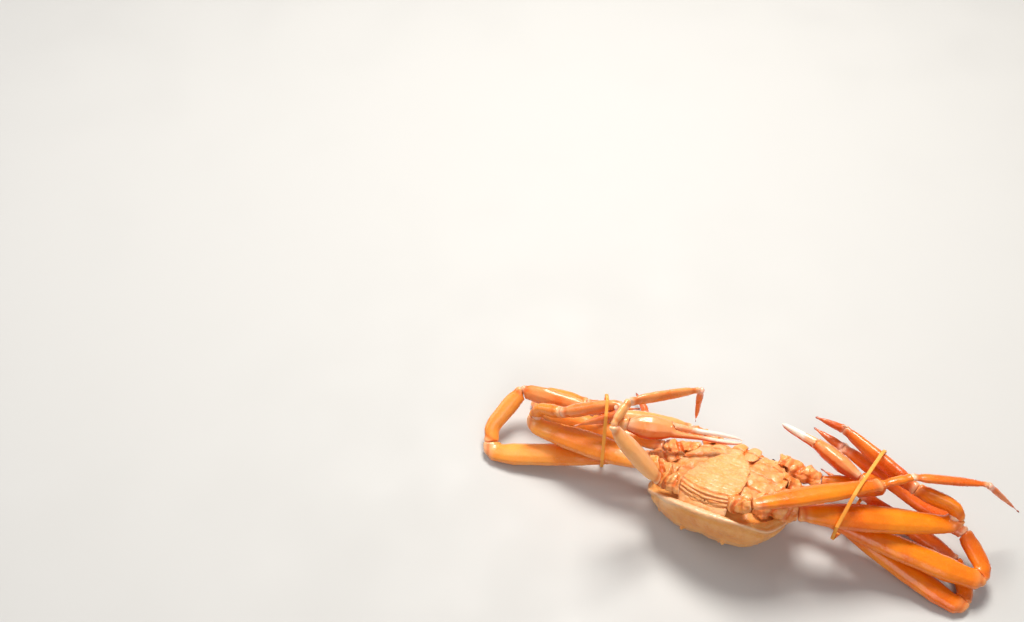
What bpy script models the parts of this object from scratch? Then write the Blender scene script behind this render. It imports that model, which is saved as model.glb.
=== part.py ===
"""Red snow crab, boiled and cooled, life size, laid on its back.

The legs are folded at the knees and gathered into a bundle on each side, and a thin rubber band
holds each bundle. The model is a still one, as a museum shows it. Every shell article is one
closed solid, and neighbours meet face to face with a small gap.

Row frame: +X runs along the two leg bundles, +Y toward the animal's mouth, +Z up, floor at z = 0,
and the origin is the middle of the bounding box on the floor. Lengths below are in millimetres.
"""

import math
import random

import bmesh
import bpy
from mathutils import Matrix, Vector
from mathutils.geometry import convex_hull_2d

MM = 0.001
GAP = 0.3

# The body: the shell's own frame has u to the animal's side, v toward the mouth and w out of the
# belly. Places in it are written for a carapace 101 mm wide and scaled to this one of 95 mm.
BODY_SCALE = 0.94
CARAPACE_HALF_WIDTH = 58.0
RIM_LEVEL = -17.5
HIND_RIM_LIFT = 8.0
SHELL_DEPTH = 25.0
SEAT_LEVEL = -8.0
ABDOMEN_HALF_WIDTH = 18.5
BODY_AT = (6.6, 1.4, 38.2)
BODY_YAW = -6.0
BODY_PITCH = -21.0
BODY_ROLL = -14.0

# Half outlines from the mouth end to the tail end, as fractions of the carapace's half width.
CARAPACE_OUTLINE = (
    (0.00, 0.93), (0.17, 0.92), (0.29, 0.84), (0.36, 0.73), (0.55, 0.56), (0.82, 0.24),
    (0.87, -0.08), (0.85, -0.34), (0.76, -0.58), (0.55, -0.77), (0.28, -0.84), (0.00, -0.86),
)
THORAX_OUTLINE = (
    (0.00, 0.66), (0.22, 0.67), (0.45, 0.60), (0.63, 0.37), (0.68, 0.04), (0.64, -0.26),
    (0.48, -0.52), (0.28, -0.68), (0.00, -0.72),
)

# Where each leg leaves the thorax: u, v, w on the right side, mirrored for the left.
LEG_SEATS = {1: (22.0, 36.0, -3.0), 2: (31.0, 17.0, -4.0), 3: (34.0, -2.0, -5.5),
             4: (30.0, -22.0, -5.0), 5: (20.0, -37.0, -1.0)}

# Greatest half width of each leg's merus.
LEG_RADIUS = {1: 6.6, 2: 9.0, 3: 9.5, 4: 10.3, 5: 8.2}

# Half width along each leg article, as (place along it, share of the merus's half width). The
# second and third legs' meri are widest near the knee.
BASE_FORM = ((0.0, 0.8), (0.26, 0.96), (0.5, 0.7), (0.74, 0.88), (1.0, 0.62))
MERUS_FORM = ((0.0, 0.54), (0.12, 0.8), (0.35, 1.0), (0.65, 0.93), (0.88, 0.7), (1.0, 0.62))
LATE_MERUS_FORM = ((0.0, 0.52), (0.12, 0.66), (0.45, 0.92), (0.75, 1.0), (0.92, 0.84), (1.0, 0.68))
CARPUS_FORM = ((0.0, 0.58), (0.35, 0.64), (0.75, 0.71), (1.0, 0.58))
PROPODUS_FORM = ((0.0, 0.54), (0.25, 0.72), (0.7, 0.66), (1.0, 0.4))
DACTYL_FORM = ((0.0, 0.37), (0.2, 0.37), (0.7, 0.22), (1.0, 0.05))
WRIST_FORM = ((0.0, 0.7), (0.35, 0.84), (0.75, 0.88), (1.0, 0.72))

# Thickness as a share of width: of the base, then of the merus, carpus, propodus and dactyl. The
# last pair of legs has slimmer articles, by the shares in THIN_ARTICLES.
BASE_FLATNESS = 0.84
BASE_LUMP = 0.07
ARTICLES = ("base", "merus", "carpus", "propodus", "dactyl")
LEG_FLATNESS = (0.62, 0.66, 0.64, 0.8)
THIN_ARTICLES = (1.0, 0.68, 0.7, 0.95)

# Corner points of each leg's centreline after its seat, the bend radius at each corner, and where
# the four joints lie, counted in corners: a half means midway between two corners.
LEG_ROUTES = {
    "right_leg_5": (((34.3, -33, 65.2), (96.5, 30, 56.8), (112, 45, 58.5), (155, 68, 55),
                     (181, 80, 27)), (9, 12, 8, 5), (1, 2, 3, 4)),
    "right_leg_4": (((59.5, -14.3, 51.5), (146.7, 44.5, 31), (145.5, 49.5, 43), (117.5, 48.5, 43.5),
                     (60, 69.5, 44.5), (39, 66, 48)), (9, 7.5, 7.5, 12, 8), (1, 2.5, 4, 5)),
    "right_leg_3": (((62, -1, 40), (171, 23.7, 14.8), (176, 35, 13.5), (155, 49, 22),
                     (64, 63.5, 33), (40, 68.5, 34)), (9, 7.5, 7.5, 12, 8), (1, 2.5, 4, 5)),
    "right_leg_2": (((64, 16.5, 25), (168.5, 6.9, 3.6), (171, 19, 3.9), (157, 36, 9),
                     (88, 46.5, 17), (55, 50, 19)), (9, 7.5, 7.5, 12, 8), (1, 2.5, 4, 5)),
    "left_leg_5": (((-28, -36, 48), (-60, -48, 96), (-59, -26, 98), (-26, 12, 92), (-26, 13, 55)),
                   (7, 6, 6, 4), (1, 2, 3, 4)),
    "left_leg_4": (((-44, -21.5, 36), (-130, -26, 23), (-128, -19.5, 37), (-110, -19, 43),
                    (-73, -3, 61.5), (-72, -12, 59), (-97, -27, 46)),
                   (9, 7.5, 7.5, 12, 4, 4), (1, 2.5, 4, 5.5)),
    "left_leg_3": (((-47, -6, 23), (-148, -50, 3.4), (-158, -36, 11), (-151, -5, 26),
                    (-98, 4, 28), (-72, 30, 20)), (9, 8, 12, 10, 8), (1, 2.4, 4, 5)),
    "left_leg_2": (((-44, 11, 17), (-142, 2, 3.5), (-146, 18, 3.6), (-112, 22, 6.4),
                    (-64, 32, 9), (-86, 50, 8)), (9, 7.5, 7.5, 12, 6), (1, 2.5, 4, 5)),
}


def place(point):
    """A point of the row frame from millimetres."""
    return Vector(point) * MM


def body_matrix():
    """The shell's own frame, tipped mouth end down as the animal lies on its swollen back."""
    turn = (Matrix.Rotation(math.radians(BODY_YAW), 4, "Z")
            @ Matrix.Rotation(math.radians(BODY_PITCH), 4, "X")
            @ Matrix.Rotation(math.radians(BODY_ROLL), 4, "Y") @ Matrix.Scale(BODY_SCALE, 4))
    return Matrix.Translation(place(BODY_AT)) @ turn


BODY = body_matrix()


def on_body(u, v, w):
    """A point of the row frame from one in the shell's own frame, in millimetres."""
    return BODY @ place((u, v, w))


def smooth_step(low, high, x):
    """Rises from 0 to 1 between two values."""
    t = min(1.0, max(0.0, (x - low) / (high - low)))
    return t * t * (3.0 - 2.0 * t)


def form_at(form, t):
    """Reads a form's share at t, eased between its places."""
    for (t0, r0), (t1, r1) in zip(form, form[1:]):
        if t <= t1:
            return r0 + (r1 - r0) * smooth_step(t0, t1, t)
    return form[-1][1]


def material(name, colour, roughness):
    """A plain Principled material, shared by name."""
    found = bpy.data.materials.get(name)
    if found:
        return found
    made = bpy.data.materials.new(name)
    made.use_nodes = True
    shader = made.node_tree.nodes["Principled BSDF"]
    shader.inputs["Base Color"].default_value = (*colour, 1.0)
    shader.inputs["Roughness"].default_value = roughness
    shader.inputs["Metallic"].default_value = 0.0
    return made


SHELL = ("shell_orange", (0.80, 0.22, 0.03), 0.42)
BELLY = ("belly_shell", (0.84, 0.46, 0.17), 0.5)
FINGER = ("finger_white", (0.85, 0.72, 0.60), 0.35)
EYE = ("eye_dark", (0.03, 0.02, 0.02), 0.15)
BAND = ("band_rubber", (0.78, 0.47, 0.20), 0.55)


def make_object(name, mesh_data, look):
    """A smooth-shaded object from a bmesh whose faces all point out."""
    bmesh.ops.triangulate(mesh_data, faces=mesh_data.faces[:])
    bmesh.ops.recalc_face_normals(mesh_data, faces=mesh_data.faces[:])
    mesh = bpy.data.meshes.new(name)
    mesh_data.to_mesh(mesh)
    mesh_data.free()
    mesh.shade_smooth()
    mesh.set_sharp_from_angle(angle=math.radians(40.0))
    mesh.materials.append(material(*look))
    obj = bpy.data.objects.new(name, mesh)
    bpy.context.scene.collection.objects.link(obj)
    return obj


def loft(name, rings, look):
    """One closed solid through rings of equal count, capped at both ends."""
    mesh_data = bmesh.new()
    rows = [[mesh_data.verts.new(point) for point in ring] for ring in rings]
    count = len(rows[0])
    for low, high in zip(rows, rows[1:]):
        for i in range(count):
            j = (i + 1) % count
            mesh_data.faces.new((low[i], low[j], high[j], high[i]))
    mesh_data.faces.new(rows[0][::-1])
    mesh_data.faces.new(rows[-1])
    return make_object(name, mesh_data, look)


class Route:
    """A centreline of straight runs and arcs, with a frame that turns as little as it can."""

    STEP = 1.0 * MM

    def __init__(self, corners, bends, up):
        line, marks = self.rounded(corners, bends)
        self.resample(line, marks)
        self.carry_frame(up)

    def rounded(self, corners, bends):
        """The line with an arc at each inner corner, and each corner's place along it."""
        line = [corners[0]]
        marks = [0]
        for before, corner, after, bend in zip(corners, corners[1:], corners[2:], bends):
            back = before - corner
            ahead = after - corner
            turn = math.pi - back.angle(ahead)
            if turn < 0.03:
                line.append(corner)
                marks.append(len(line) - 1)
                continue
            share = math.tan(turn / 2)
            reach = min(bend * MM * share, 0.48 * back.length, 0.48 * ahead.length)
            radius = reach / share
            inward = (back.normalized() + ahead.normalized()).normalized()
            centre = corner + inward * (radius / math.cos(turn / 2))
            start = (corner + back.normalized() * reach - centre).normalized()
            end = (corner + ahead.normalized() * reach - centre).normalized()
            half = max(2, math.ceil(turn / 0.3))
            marks.append(len(line) + half)
            for k in range(2 * half + 1):
                line.append(centre + start.slerp(end, k / (2 * half)) * radius)
        line.append(corners[-1])
        marks.append(len(line) - 1)
        return line, marks

    def resample(self, line, marks):
        """Even steps along the line, and the corners' places as lengths."""
        lengths = [0.0]
        for a, b in zip(line, line[1:]):
            lengths.append(lengths[-1] + (b - a).length)
        self.length = lengths[-1]
        self.marks = [lengths[i] for i in marks]
        count = max(8, round(self.length / self.STEP))
        self.points = []
        leg = 0
        for k in range(count + 1):
            s = self.length * k / count
            while leg < len(line) - 2 and lengths[leg + 1] < s:
                leg += 1
            t = (s - lengths[leg]) / max(lengths[leg + 1] - lengths[leg], 1e-9)
            self.points.append(line[leg].lerp(line[leg + 1], t))

    def carry_frame(self, up):
        """Tangents and normals at every step."""
        last = len(self.points) - 1
        self.tangents = []
        for i in range(last + 1):
            ahead = self.points[min(last, i + 2)]
            behind = self.points[max(0, i - 2)]
            self.tangents.append((ahead - behind).normalized())
        self.normals = []
        normal = Vector(up)
        for tangent in self.tangents:
            normal = (normal - tangent * normal.dot(tangent)).normalized()
            self.normals.append(normal)

    def at(self, s):
        """Point, tangent and normal at a length along the route."""
        x = max(0.0, min(1.0, s / self.length)) * (len(self.points) - 1)
        i = min(len(self.points) - 2, int(x))
        t = x - i
        point = self.points[i].lerp(self.points[i + 1], t)
        tangent = self.tangents[i].lerp(self.tangents[i + 1], t).normalized()
        normal = self.normals[i].lerp(self.normals[i + 1], t)
        return point, tangent, (normal - tangent * normal.dot(tangent)).normalized()

    def joint(self, corner):
        """The length at a corner, or midway between two."""
        low = int(corner)
        share = corner - low
        if share == 0:
            return self.marks[low]
        return self.marks[low] * (1.0 - share) + self.marks[low + 1] * share

    def stations(self, start, end, longest, sharpest=math.radians(24.0)):
        """Places for rings: close together where the line bends, wide apart where it is straight."""
        places = [start]
        s = start
        _, last, _ = self.at(start)
        while s < end - self.STEP:
            s += self.STEP
            _, tangent, _ = self.at(s)
            if tangent.angle(last) > sharpest or s - places[-1] > longest:
                places.append(s)
                last = tangent
        if end - places[-1] < 0.4 * longest and len(places) > 2 and end - places[-1] < 2 * MM:
            places.pop()
        places.append(end)
        return places


def tube_rings(route, start, end, form, wide, deep, sides, cut_start, cut_end, box=1.0, lump=0.0):
    """Rings of an oval tube between two joints, each end cut square a half gap short of its joint.

    A lump above 0 makes the tube knobbly: it swells and sinks in threes round and along it.
    """
    rings = []
    for s in route.stations(start, end, (end - start) / 5.0):
        centre, tangent, normal = route.at(s)
        if s == start and cut_start:
            centre = centre + tangent * (GAP * MM / 2)
        if s == end and cut_end:
            centre = centre - tangent * (GAP * MM / 2)
        across = tangent.cross(normal)
        share = form_at(form, (s - start) / (end - start))
        ring = []
        for k in range(sides):
            angle = math.tau * k / sides
            knob = share * (1.0 + lump * math.sin(3.0 * angle + 2.4 * len(rings)))
            x = math.copysign(abs(math.cos(angle)) ** box, math.cos(angle)) * wide * knob
            y = math.copysign(abs(math.sin(angle)) ** box, math.sin(angle)) * deep * knob
            ring.append(centre + (normal * x + across * y) * MM)
        rings.append(ring)
    return rings


def swollen(obj, amount):
    """A cutter: a copy of an object, grown evenly by an amount."""
    mesh_data = bmesh.new()
    mesh_data.from_mesh(obj.data)
    mesh_data.normal_update()
    moves = [(vert, vert.normal * (amount * MM * min(vert.calc_shell_factor(), 2.0)))
             for vert in mesh_data.verts]
    for vert, move in moves:
        vert.co += move
    mesh = bpy.data.meshes.new("cutter")
    mesh_data.to_mesh(mesh)
    mesh_data.free()
    cutter = bpy.data.objects.new("cutter", mesh)
    bpy.context.scene.collection.objects.link(cutter)
    cutter.hide_render = True
    cutter.display_type = "WIRE"
    return cutter


def apply_boolean(obj, operation, other=None, collection=None, solver="EXACT"):
    """Adds one Boolean to an object and applies it."""
    step = obj.modifiers.new("boolean", "BOOLEAN")
    step.operation = operation
    step.solver = solver
    if collection:
        step.operand_type = "COLLECTION"
        step.collection = collection
    else:
        step.object = other
    depsgraph = bpy.context.evaluated_depsgraph_get()
    result = bpy.data.meshes.new_from_object(obj.evaluated_get(depsgraph))
    obj.modifiers.clear()
    old = obj.data
    obj.data = result
    bpy.data.meshes.remove(old)


def keep_largest(obj):
    """Welds stray doubles and keeps only the largest closed surface."""
    mesh_data = bmesh.new()
    mesh_data.from_mesh(obj.data)
    bmesh.ops.remove_doubles(mesh_data, verts=mesh_data.verts[:], dist=0.01 * MM)
    bmesh.ops.dissolve_degenerate(mesh_data, edges=mesh_data.edges[:], dist=0.005 * MM)
    bmesh.ops.triangulate(mesh_data, faces=mesh_data.faces[:])
    seen = set()
    shells = []
    for seed in mesh_data.faces:
        if seed in seen:
            continue
        seen.add(seed)
        shell = [seed]
        for face in shell:
            for edge in face.edges:
                for near in edge.link_faces:
                    if near not in seen:
                        seen.add(near)
                        shell.append(near)
        shells.append(shell)
    shells.sort(key=lambda shell: sum(face.calc_area() for face in shell))
    spare = [face for shell in shells[:-1] for face in shell]
    bmesh.ops.delete(mesh_data, geom=spare, context="FACES")
    mesh_data.to_mesh(obj.data)
    mesh_data.free()
    obj.data.shade_smooth()
    obj.data.set_sharp_from_angle(angle=math.radians(40.0))


def meet(child, parents):
    """Cuts a piece back so that it faces what it grows from across the gap."""
    for parent in parents:
        cutter = swollen(parent, GAP)
        apply_boolean(child, "DIFFERENCE", other=cutter)
        bpy.data.objects.remove(cutter)
    keep_largest(child)


def fuse(core, pieces, solver="EXACT"):
    """Joins closed pieces to their core in one union and removes them."""
    group = bpy.data.collections.new("pieces")
    bpy.context.scene.collection.children.link(group)
    for piece in pieces:
        bpy.context.scene.collection.objects.unlink(piece)
        group.objects.link(piece)
    apply_boolean(core, "UNION", collection=group, solver=solver)
    for piece in pieces:
        bpy.data.objects.remove(piece)
    bpy.data.collections.remove(group)
    keep_largest(core)


def box_below_floor():
    """A cutter that fills the space under the floor."""
    bpy.ops.mesh.primitive_cube_add(size=1.0, location=(0.0, 0.0, -0.05))
    box = bpy.context.object
    box.scale = (0.6, 0.6, 0.1)
    box.hide_render = True
    box.display_type = "WIRE"
    return box


def rest_on_floor(objects):
    """Cuts off what would sink below the floor, which leaves small flats at one level."""
    box = box_below_floor()
    for obj in objects:
        if min(vert.co.z for vert in obj.data.vertices) < 0.0:
            apply_boolean(obj, "DIFFERENCE", other=box)
            keep_largest(obj)
    bpy.data.objects.remove(box)


def closed_outline(half, count):
    """Points round a mirrored half outline, eased between its own points by a Catmull-Rom curve."""
    right = [Vector((u, v)) * CARAPACE_HALF_WIDTH for u, v in half]
    left = [Vector((-p.x, p.y)) for p in right[-2:0:-1]]
    loop = right + left
    total = len(loop)
    points = []
    for k in range(count):
        x = k * total / count
        i = int(x)
        t = x - i
        p0, p1, p2, p3 = (loop[(i + step) % total] for step in (-1, 0, 1, 2))
        points.append(0.5 * (2 * p1 + (p2 - p0) * t + (2 * p0 - 5 * p1 + 4 * p2 - p3) * t * t
                             + (3 * p1 - p0 - 3 * p2 + p3) * t * t * t))
    return points


def rim_level(v):
    """Height of the carapace's edge, which rises behind the last legs."""
    return RIM_LEVEL + HIND_RIM_LIFT * smooth_step(-30.0, -50.0, v)


def dorsal_level(u, v, share):
    """Height of the back at a point: swollen gill regions, a stomach region and a furrow."""
    depth = SHELL_DEPTH - 0.2 * max(0.0, v + 20.0)
    edge_level = rim_level(v) * share ** 6 + RIM_LEVEL * (1.0 - share ** 6)
    level = edge_level - depth * (1.0 - share ** 2.6) ** 0.62
    edge = 1.0 - share ** 4
    gill = math.exp(-((abs(u) - 27.0) / 14.0) ** 2 - ((v + 14.0) / 20.0) ** 2)
    furrow = math.exp(-(u / 5.0) ** 2) * smooth_step(8.0, -8.0, v) * smooth_step(-48.0, -34.0, v)
    stomach = math.exp(-(u / 13.0) ** 2 - ((v - 20.0) / 13.0) ** 2)
    return level - edge * (3.5 * gill + 1.6 * stomach - 3.0 * furrow)


def belly_level(u, v, share):
    """Height of the sternum: a low shield with a trough down its middle and a step at each leg."""
    level = 2.6 - 5.0 * share ** 3
    trough = math.exp(-(u / 15.0) ** 2)
    steps = 0.6 * math.cos(math.tau * (v + 5.0) / 18.0) * smooth_step(0.35, 0.8, share)
    return level - 1.6 * trough + steps


def ring_on_body(outline, share, level, middle=(0.0, -3.0)):
    """A scaled outline at heights read from a function of u, v and the scale."""
    ring = []
    for point in outline:
        u = middle[0] + (point.x - middle[0]) * share
        v = middle[1] + (point.y - middle[1]) * share
        ring.append(on_body(u, v, level(u, v, share)))
    return ring


def cone(root, tip, radius, sides=5):
    """A small closed spine or tubercle."""
    mesh_data = bmesh.new()
    axis = (tip - root).normalized()
    side = axis.orthogonal().normalized()
    across = axis.cross(side)
    foot = []
    for k in range(sides):
        angle = math.tau * k / sides
        foot.append(mesh_data.verts.new(root + (side * math.cos(angle) + across * math.sin(angle))
                                        * radius))
    top = mesh_data.verts.new(tip)
    for k in range(sides):
        mesh_data.faces.new((foot[k], foot[(k + 1) % sides], top))
    mesh_data.faces.new(foot[::-1])
    return make_object("spine", mesh_data, SHELL)


def marginal_spines(outline):
    """The row of short spines along each gill region's edge and the two horns of the rostrum."""
    spines = []
    for side in (-1, 1):
        for k in range(9):
            v = 24.0 - 6.5 * k
            edge = min((p for p in outline if p.x * side > 0), key=lambda p: abs(p.y - v))
            out = Vector((edge.x, edge.y * 0.6)).normalized()
            height = 2.0 + 0.7 * math.sin(2.3 * k)
            root = edge - out * 2.0
            tip = edge + out * height
            spines.append(cone(on_body(root.x, root.y, rim_level(root.y) + 0.5),
                               on_body(tip.x, tip.y, rim_level(root.y) - 0.6), 1.3 * MM))
        spines.append(cone(on_body(side * 3.6, 48.0, RIM_LEVEL + 1.5),
                           on_body(side * 5.6, 61.0, RIM_LEVEL + 1.0), 3.2 * MM, 6))
        spines.append(cone(on_body(side * 18.5, 43.0, RIM_LEVEL + 1.2),
                           on_body(side * 22.0, 51.5, RIM_LEVEL + 1.6), 2.4 * MM, 6))
    return spines


def tubercles():
    """Low tubercles scattered over the back, thickest on the gill regions."""
    draw = random.Random(7)
    made = []
    places = []
    while len(places) < 46:
        u = draw.uniform(-48.0, 48.0)
        v = draw.uniform(-44.0, 40.0)
        share = math.hypot(u / 56.0, (v + 3.0) / 52.0)
        clear = all(math.hypot(u - a, v - b) > 6.5 for a, b in places)
        if share < 0.86 and clear:
            places.append((u, v))
            level = dorsal_level(u, v, share)
            size = draw.uniform(0.9, 1.5)
            made.append(cone(on_body(u, v, level + 1.6), on_body(u * 1.01, v, level - size),
                             1.5 * size * MM, 5))
    return made


def make_carapace():
    """The back shell: domed below, rolled at the rim, and level where the thorax sits in it."""
    outline = closed_outline(CARAPACE_OUTLINE, 44)
    rings = [ring_on_body(outline, share, lambda u, v, s: SEAT_LEVEL - GAP)
             for share in (0.3, 0.72)]
    for share, drop in ((0.82, 0.3), (0.9, 0.26), (0.95, 0.06), (0.99, 0.4)):
        rings.append(ring_on_body(outline, share, lambda u, v, s, d=drop:
                                  SEAT_LEVEL - GAP + (rim_level(v) - SEAT_LEVEL) * d))
    for share in (1.0, 0.985, 0.94, 0.86, 0.74, 0.6, 0.44, 0.26, 0.1):
        rings.append(ring_on_body(outline, share, dorsal_level))
    shell = loft("carapace", rings, SHELL)
    fuse(shell, marginal_spines(outline) + tubercles())
    return shell


def make_thorax():
    """The sternum and the leg sockets' frame, one solid shield that the abdomen folds over."""
    outline = closed_outline(THORAX_OUTLINE, 40)
    rings = [ring_on_body(outline, share, lambda u, v, s: SEAT_LEVEL) for share in (0.3, 0.9)]
    rings.append(ring_on_body(outline, 1.0, lambda u, v, s: SEAT_LEVEL + 2.0))
    for share in (1.0, 0.9, 0.74, 0.56, 0.36, 0.14):
        rings.append(ring_on_body(outline, share, belly_level))
    return loft("thorax", rings, BELLY)


def make_abdomen():
    """The tail flap: broad at its root over the carapace's hind edge, narrow at its tip."""
    corners = [on_body(0.0, v, w) for v, w in ((-42.6, -11.0), (-38.5, 2.8), (17.0, 4.4))]
    route = Route(corners, (7.0,), BODY.to_3x3() @ Vector((1, 0, 0)))
    form = ((0.0, 0.92), (0.2, 1.0), (0.36, 1.08), (0.55, 1.0), (0.75, 0.82), (0.9, 0.56),
            (1.0, 0.2))
    rings = []
    count = 22
    for k in range(count + 1):
        s = route.length * k / count
        centre, tangent, normal = route.at(s)
        across = tangent.cross(normal)
        half = ABDOMEN_HALF_WIDTH * form_at(form, k / count)
        ridge = 1.0 if k % 3 == 1 else 0.72
        ring = []
        for j in range(12):
            angle = math.tau * j / 12
            x = math.copysign(abs(math.cos(angle)) ** 0.7, math.cos(angle)) * half
            y = math.sin(angle) * 2.3 * ridge
            ring.append(centre + (normal * x + across * y) * MM)
        rings.append(ring)
    return loft("abdomen", rings, BELLY)


def make_mouthparts(thorax, carapace):
    """The third maxillipeds: a pair of plates that close over the mouth, joined on their midline."""
    plates = []
    for side in (1, -1):
        line = [on_body(side * u, v, w) for u, v, w in
                ((5.0, 19.0, -1.0), (5.4, 28.0, 0.8), (5.2, 36.5, 1.6))]
        route = Route(line, (20.0,), BODY.to_3x3() @ Vector((1, 0, 0)))
        form = ((0.0, 0.7), (0.3, 1.0), (0.7, 1.0), (1.0, 0.72))
        rings = tube_rings(route, 0.0, route.length, form, 5.5, 2.0, 10, False, False, 0.75)
        plates.append(loft("mouthparts", rings, BELLY))
    fuse(plates[0], plates[1:])
    meet(plates[0], (thorax, carapace))


def make_small_parts(carapace):
    """Eyes on their stalks and second antennae, left and right."""
    for word, side in (("right", 1), ("left", -1)):
        up = BODY.to_3x3() @ Vector((1, 0, 0))
        line = [on_body(side * u, v, w) for u, v, w in ((9.5, 42.0, -12.0), (15.0, 52.5, -12.5))]
        route = Route(line, (), up)
        form = ((0.0, 0.62), (0.5, 0.62), (0.68, 1.0), (0.86, 0.94), (1.0, 0.35))
        rings = tube_rings(route, 0.0, route.length, form, 3.3, 3.3, 10, False, False)
        meet(loft("eye_" + word, rings, EYE), (carapace,))
        line = [on_body(side * u, v, w) for u, v, w in
                ((4.5, 44.0, -10.5), (5.2, 54.0, -10.0), (9.0, 66.0, -12.0))]
        route = Route(line, (12.0,), up)
        form = ((0.0, 1.0), (0.32, 0.9), (0.42, 0.42), (1.0, 0.18))
        rings = tube_rings(route, 0.0, route.length, form, 1.9, 1.9, 8, False, False)
        meet(loft("antenna_" + word, rings, SHELL), (carapace,))


def seat_of(word, number):
    """Where a leg leaves the thorax, in the row frame."""
    u, v, w = LEG_SEATS[number]
    return on_body(u if word == "right" else -u, v, w)


def base_rings(route, end, size):
    """A leg's first article, the knobbly root that comes out of the thorax."""
    return tube_rings(route, 0.0, end, BASE_FORM, size * BASE_FLATNESS, size, 12, False, True,
                      lump=BASE_LUMP)


def make_leg(word, number, body):
    """Five articles along one bent centreline, cut at the joints.

    The last pair of legs grows slimmer past the knee, each article by its own share.
    """
    name = f"{word}_leg_{number}"
    corners, bends, joints = LEG_ROUTES[name]
    seat = seat_of(word, number)
    points = [seat] + [place(corner) for corner in corners]
    route = Route(points, bends, (0, 0, 1))
    size = LEG_RADIUS[number]
    ends = [0.0] + [route.joint(joint) for joint in joints] + [route.length]
    meet(loft(f"{name}_base", base_rings(route, ends[1], size), BELLY), body)
    merus_form = MERUS_FORM if number > 3 else LATE_MERUS_FORM
    forms = (merus_form, CARPUS_FORM, PROPODUS_FORM, DACTYL_FORM)
    for k, (article, form, flatness) in enumerate(zip(ARTICLES[1:], forms, LEG_FLATNESS), 1):
        wide = size * THIN_ARTICLES[k - 1] if number == 5 else size
        rings = tube_rings(route, ends[k], ends[k + 1], form, wide * flatness, wide, 10, True,
                           k < 4)
        loft(f"{name}_{article}", rings, SHELL)


# The claw-bearing first pair: corner points after the seat up to the wrist, then the palm.
CLAW_ROUTES = {
    "right": (((61, 33.8, 28.5), (97, 46, 28.5), (95.5, 40, 42), (83, 38, 43)), (8, 8, 6), (1, 2.5)),
    "left": (((-33, 29, 25), (-79, 4, 36), (-79, -6, 48), (-65, -8, 49)), (8, 8, 6), (1, 2.5)),
}
# Finger base, finger tips and the way the movable finger opens from the fixed one.
CLAW_HANDS = {
    "right": ((49, 50, 42), (22, 53, 42), (0.1, -0.45, 0.85)),
    "left": ((-39, 5, 47), (5, 24, 43), (-0.3, 0.75, 0.55)),
}
# The claws' roots are swollen, and fill the shoulder between the mouth and the second legs.
CLAW_ROOT_SWELLING = {"right": 1.38, "left": 1.0}
PALM_HALF_HEIGHT = 8.6
PALM_HALF_THICKNESS = 6.0
PALM_FORM = ((0.0, 0.52), (0.15, 0.74), (0.45, 1.0), (0.76, 0.92), (1.0, 0.66))


def make_claw(word, thorax, carapace):
    """The first leg: base, merus, carpus, palm with its fixed finger, and the movable finger."""
    name = f"{word}_claw"
    corners, bends, joints = CLAW_ROUTES[word]
    finger_base, tip, opening = CLAW_HANDS[word]
    points = [seat_of(word, 1)] + [place(corner) for corner in corners]
    points += [place(finger_base)]
    route = Route(points, tuple(bends) + (9,), (0, 0, 1))
    size = LEG_RADIUS[1]
    ends = [0.0] + [route.joint(joint) for joint in joints] + [route.joint(4)]
    root = base_rings(route, ends[1], size * CLAW_ROOT_SWELLING[word])
    meet(loft(f"{name}_base", root, BELLY), (thorax, carapace))
    for k, (article, form) in enumerate(zip(ARTICLES[1:3], (MERUS_FORM, WRIST_FORM)), 1):
        rings = tube_rings(route, ends[k], ends[k + 1], form, size, size, 10, True, True)
        loft(f"{name}_{article}", rings, SHELL)
    make_hand(name, route, ends[3], place(tip), Vector(opening).normalized())


def make_hand(name, route, wrist, tip, opening):
    """Palm and fixed finger in one piece, and the movable finger hinged beside it."""
    palm_end, forward, _ = route.at(route.length)
    opening = (opening - forward * opening.dot(forward)).normalized()
    across = forward.cross(opening)
    rings = []
    palm_length = route.length - wrist
    for s in route.stations(wrist, route.length, palm_length / 6.0):
        centre, tangent, _ = route.at(s)
        if s == wrist:
            centre = centre + tangent * (GAP * MM / 2)
        up = (opening - tangent * opening.dot(tangent)).normalized()
        side = tangent.cross(up)
        share = form_at(PALM_FORM, (s - wrist) / palm_length)
        rings.append(oval(centre, up, side, PALM_HALF_HEIGHT * share, PALM_HALF_THICKNESS * share))
    reach = (tip - palm_end).length
    ahead = (tip - palm_end).normalized()
    for t, drop, high, thick in ((0.06, 2.2, 3.4, 3.8), (0.18, 2.4, 2.4, 3.2), (0.45, 2.0, 1.8, 2.7),
                                 (0.72, 2.2, 1.7, 2.2), (0.92, 1.7, 1.2, 1.4), (1.0, 1.0, 0.4, 0.4)):
        centre = palm_end + ahead * (reach * t) - opening * (drop * MM)
        rings.append(oval(centre, opening, across, high, thick))
    palm = loft(name + "_palm", rings, SHELL)
    rings = []
    for t, rise, high, thick in ((-0.06, 2.8, 2.4, 3.2), (0.14, 2.6, 2.2, 3.0), (0.42, 2.1, 1.75, 2.6),
                                 (0.7, 2.3, 1.7, 2.1), (0.9, 1.9, 1.2, 1.4), (1.0, 1.3, 0.4, 0.4)):
        centre = palm_end + ahead * (reach * t) + opening * (rise * MM)
        rings.append(oval(centre, opening, across, high, thick))
    meet(loft(name + "_dactyl", rings, FINGER), (palm,))


def oval(centre, up, side, high, thick, sides=10):
    """One ring in a plane given by its two axes."""
    ring = []
    for k in range(sides):
        angle = math.tau * k / sides
        ring.append(centre + (up * (math.cos(angle) * high) + side * (math.sin(angle) * thick)) * MM)
    return ring


# The rubber bands: a point in the band's plane, the plane's normal and the strip's section.
BAND_PLANES = {"right": ((87, 30, 30), (1.0, -0.08, 0.0)), "left": ((-86, 0, 30), (0.9, 0.43, 0.0))}
BAND_WIDTH = 2.4
BAND_THICKNESS = 1.0
BAND_CLEARANCE = 0.35
BAND_EVEN_SIDES = 14


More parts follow.
